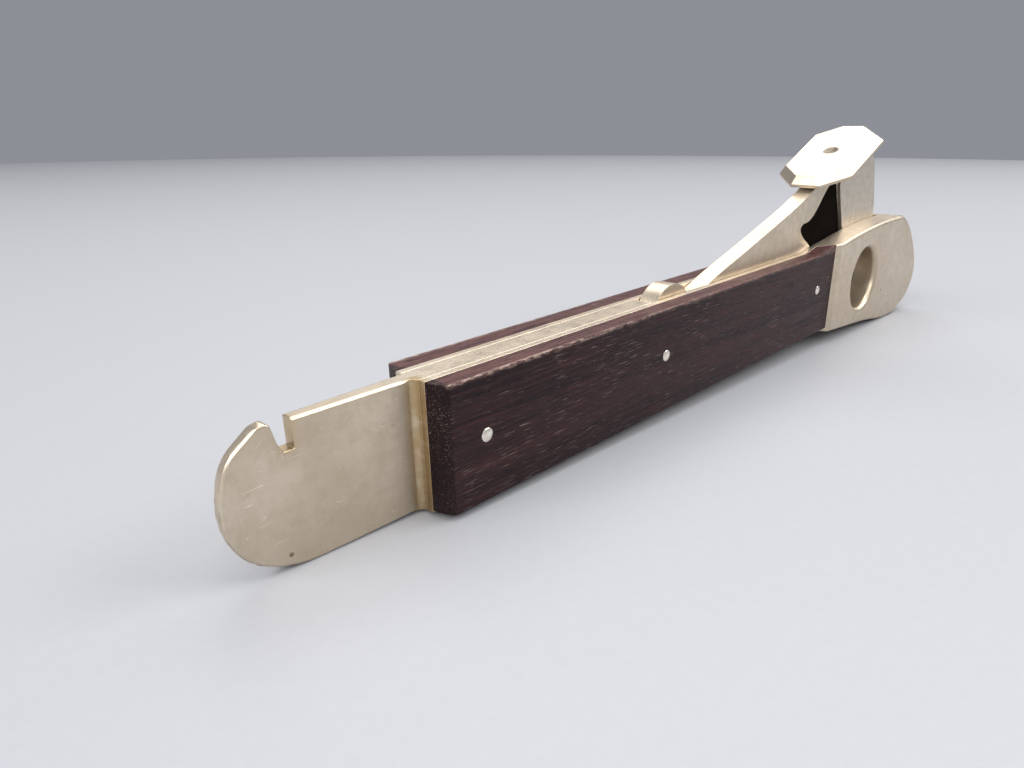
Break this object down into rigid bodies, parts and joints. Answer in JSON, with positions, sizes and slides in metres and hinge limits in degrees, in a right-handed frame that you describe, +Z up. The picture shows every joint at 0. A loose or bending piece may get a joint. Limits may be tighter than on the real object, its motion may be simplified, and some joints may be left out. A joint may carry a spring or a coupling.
{
  "type": "lever cigar cutter with box opener",
  "caption": "Table cigar cutter: slotted metal frame with rosewood scales, spring-lifted lever blade in a bored head, octagonal thumb plate and a flat box-opener tail.",
  "frame": {"origin": "middle of the whole cutter's bounding box in plan, at the level of its lowest point, which is the belly of the head", "axes": "+X along the handle from the box opener to the cutting head, +Y across the handle, +Z up from the narrow edge it stands on"},
  "size_m": [0.17, 0.014, 0.0424],
  "materials": {
    "nickel_silver": "satin, worn nickel silver",
    "rosewood": "oiled, open pored",
    "rivet_metal": "bright worn",
    "blade_steel": "satin, blackened towards the rear",
    "spring_steel": "blued spring steel"
  },
  "bodies": {
    "frame": {"core_plate": "nickel_silver", "near_cheek": "nickel_silver", "far_cheek": "nickel_silver", "near_scale": "rosewood", "far_scale": "rosewood", "rear_scale_rivet": "rivet_metal", "middle_scale_rivet": "rivet_metal", "near_front_pin": "rivet_metal", "far_front_pin": "rivet_metal", "pivot_pin": "spring_steel", "leaf_spring": "spring_steel", "spring_rivet": "spring_steel"},
    "lever": {"lever_arm": "nickel_silver", "cutter_blade": "blade_steel", "blade_rivets": "rivet_metal", "thumb_plate": "nickel_silver", "thumb_plate_rivet": "blade_steel"}
  },
  "joints": [
    {"name": "lever_pivot", "type": "hinge", "parent": "frame", "child": "lever", "pos_m": [-0.01385, 0, 0.0169], "axis": [0, 1, 0], "range_deg": [0, 12.5], "stiffness_Nm_per_rad": 1, "springref_deg": -17.19, "deforming": ["leaf_spring"]}
  ]
}
